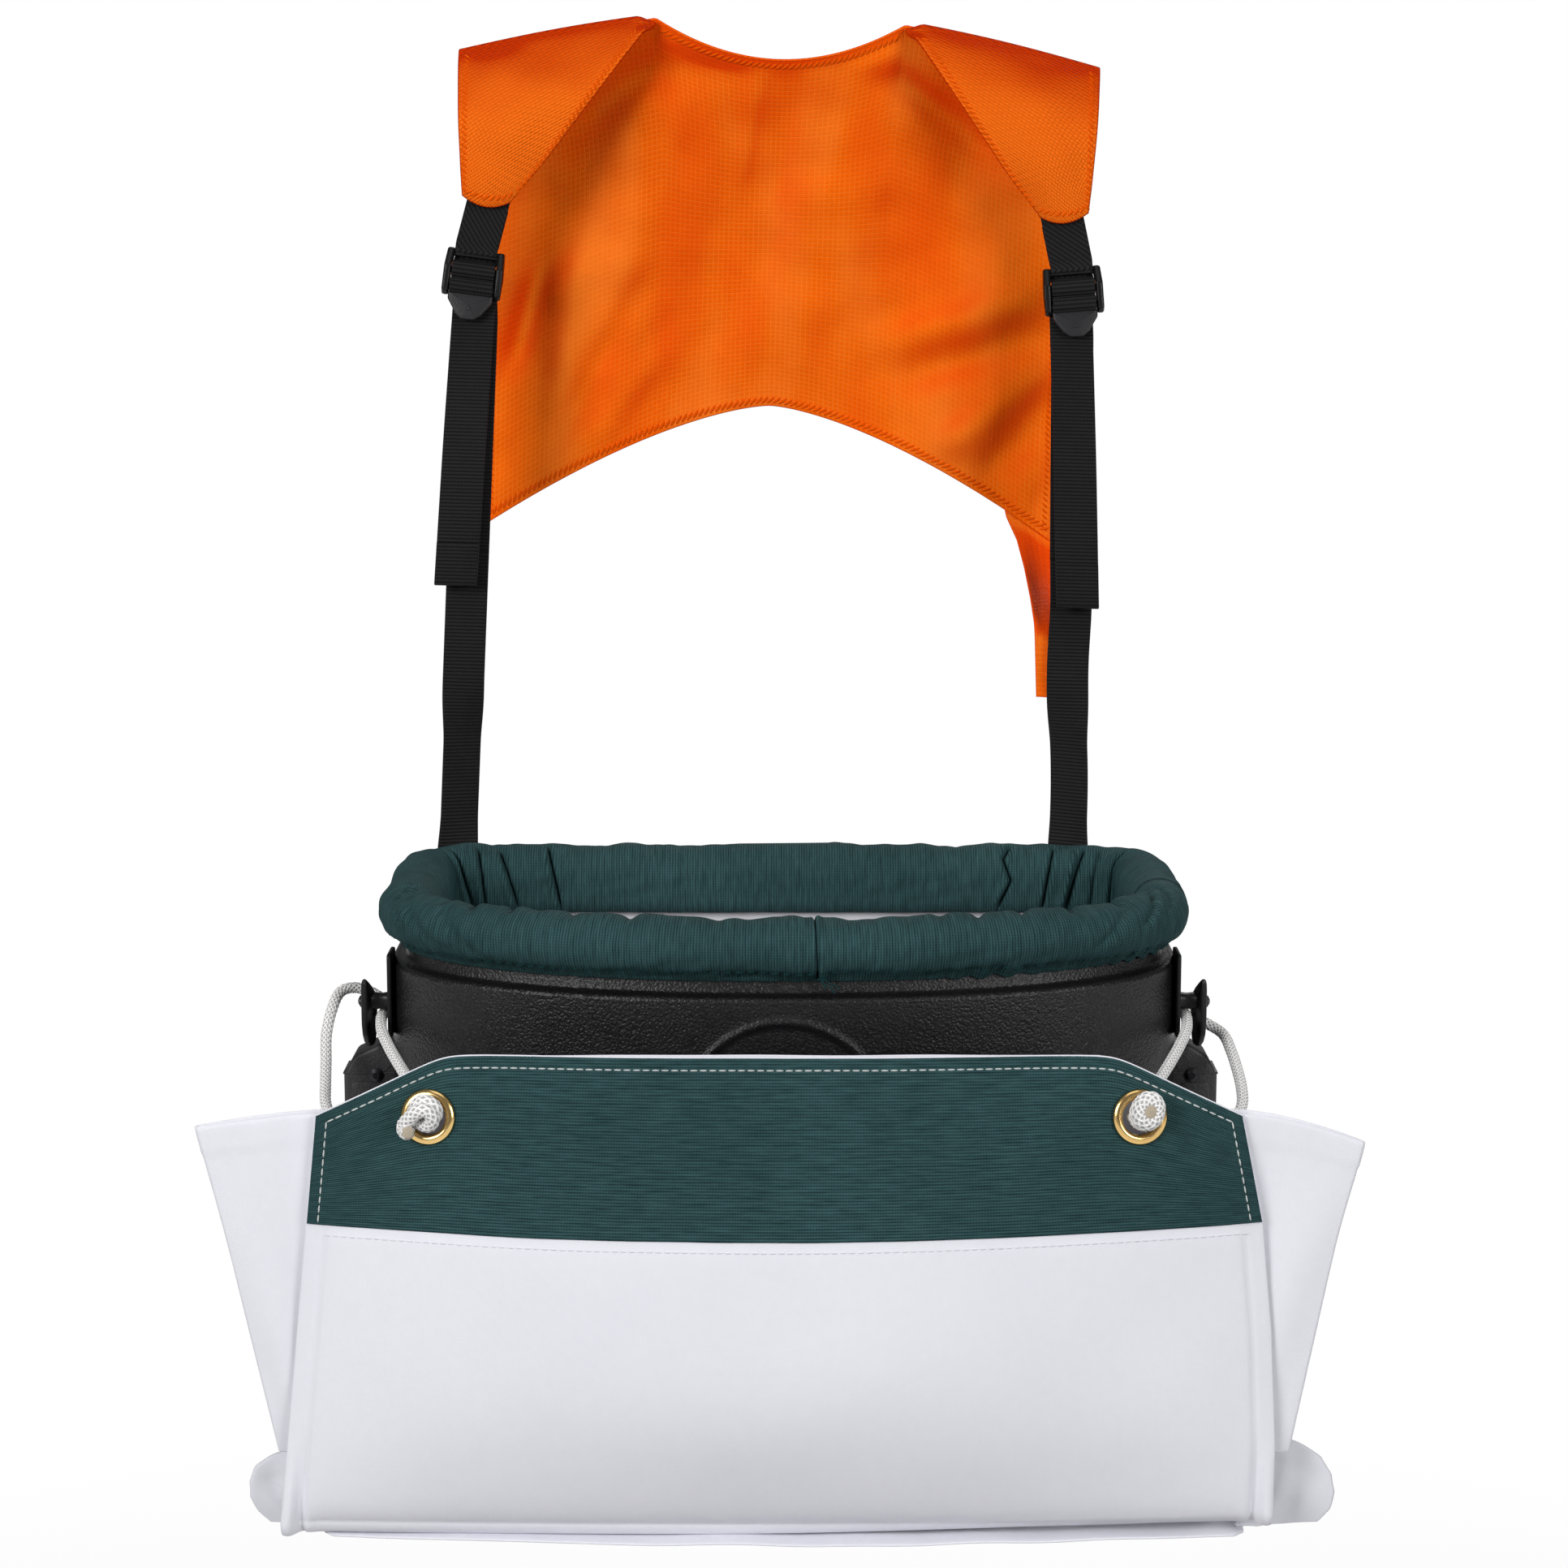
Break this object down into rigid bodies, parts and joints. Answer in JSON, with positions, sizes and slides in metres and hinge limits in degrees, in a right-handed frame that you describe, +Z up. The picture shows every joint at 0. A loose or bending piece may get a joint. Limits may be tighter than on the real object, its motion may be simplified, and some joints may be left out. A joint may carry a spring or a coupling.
{
  "type": "fruit picking bag",
  "caption": "Shoulder-worn fruit picking bag: rigid oval bucket with padded rim, white canvas drop bottom hooked up in front by rope loops, orange yoke harness.",
  "frame": {"origin": "shoulder rest, midway between the two shoulders at the crest of the harness", "axes": "+Z up, -Y towards the front of the bag, +X to the right as seen from the front"},
  "size_m": [0.626, 0.3834, 0.8159],
  "materials": {
    "orange_fabric": "satin",
    "black_webbing": "matte",
    "buckle_plastic": "satin",
    "black_plastic": "pebbled",
    "grey_plastic": "matte",
    "foam": "matte",
    "green_fabric": "matte",
    "white_canvas": "matte",
    "white_rope": "matte",
    "steel": "satin",
    "brass": "polished"
  },
  "bodies": {
    "harness": {"yoke_panel": "orange_fabric", "left_shoulder_flap": "orange_fabric", "right_shoulder_flap": "orange_fabric", "left_side_tail": "orange_fabric", "right_side_tail": "orange_fabric", "left_upper_webbing": "black_webbing", "right_upper_webbing": "black_webbing"},
    "left_buckle": {"left_buckle": "buckle_plastic"},
    "right_buckle": {"right_buckle": "buckle_plastic"},
    "straps": {"left_strap": "black_webbing", "right_strap": "black_webbing"},
    "strap_ends": {"left_strap_end": "black_webbing", "right_strap_end": "black_webbing"},
    "bag": {"bucket_shell": "black_plastic", "rim_foam": "foam", "rim_cover": "green_fabric", "bucket_lining": "white_canvas", "left_strap_bracket": "black_plastic", "right_strap_bracket": "black_plastic", "left_bracket_pin": "steel", "right_bracket_pin": "steel", "bracket_rivets": "steel", "left_cleat": "black_plastic", "right_cleat": "black_plastic", "cleat_rivets": "steel", "left_side_lug": "grey_plastic", "right_side_lug": "grey_plastic", "lug_rivets": "steel", "skirt": "white_canvas", "left_corner_ear": "white_canvas", "right_corner_ear": "white_canvas", "clamp_band": "black_plastic", "band_rivets": "steel"},
    "floor": {"skirt_floor": "white_canvas"},
    "flap": {"flap_front_panel": "white_canvas", "bottom_fold": "white_canvas", "flap_trim": "green_fabric", "left_gusset": "white_canvas", "right_gusset": "white_canvas", "left_eyelet": "brass", "right_eyelet": "brass", "left_eyelet_washer": "brass", "right_eyelet_washer": "brass", "left_rope": "white_rope", "right_rope": "white_rope", "left_knot": "white_rope", "right_knot": "white_rope"},
    "inner_flap": {"flap_back_panel": "white_canvas"}
  },
  "joints": [
    {"name": "left_buckle_tilt", "type": "hinge", "parent": "harness", "child": "left_buckle", "pos_m": [-0.18187, -0.024, -0.13603], "axis": [-0.9996, 0, 0.0279], "range_deg": [0, 45], "deforming": ["left_strap", "left_strap_end"]},
    {"name": "right_buckle_tilt", "type": "hinge", "parent": "harness", "child": "right_buckle", "pos_m": [0.16999, -0.024, -0.14586], "axis": [-0.9996, 0, 0.0279], "range_deg": [0, 45], "deforming": ["right_strap", "right_strap_end"]},
    {"name": "strap_adjust", "type": "slide", "parent": "harness", "child": "straps", "axis": [0, 0, 1], "range_m": [-0.06, 0.06], "deforming": ["left_strap", "right_strap", "left_strap_end", "right_strap_end", "left_side_tail", "right_side_tail"]},
    {"name": "strap_end_slide", "type": "slide", "parent": "harness", "child": "strap_ends", "axis": [0, 0, 1], "range_m": [-0.06, 0.06], "deforming": ["left_strap", "right_strap", "left_strap_end", "right_strap_end"]},
    {"name": "bag_tilt", "type": "hinge", "parent": "straps", "child": "bag", "pos_m": [0, -0.047, -0.524], "axis": [-1, 0, 0], "range_deg": [0, 20]},
    {"name": "floor_drop", "type": "hinge", "parent": "bag", "child": "floor", "pos_m": [0, -0.084, -0.8123], "axis": [1, 0, 0], "range_deg": [0, 90], "deforming": ["left_rope", "right_rope"]},
    {"name": "flap_swing", "type": "hinge", "parent": "floor", "child": "flap", "pos_m": [0, -0.322, -0.803], "axis": [1, 0, 0], "range_deg": [0, 90], "deforming": ["left_rope", "right_rope"]},
    {"name": "inner_flap_swing", "type": "hinge", "parent": "bag", "child": "inner_flap", "pos_m": [0, -0.31375, -0.803], "axis": [1, 0, 0], "range_deg": [0, 180], "deforming": ["left_rope", "right_rope"]}
  ],
  "couplings": [
    {"joint": "strap_end_slide", "follows": "strap_adjust", "ratio": -1},
    {"joint": "flap_swing", "follows": "floor_drop", "ratio": 1},
    {"joint": "inner_flap_swing", "follows": "floor_drop", "ratio": 2}
  ]
}
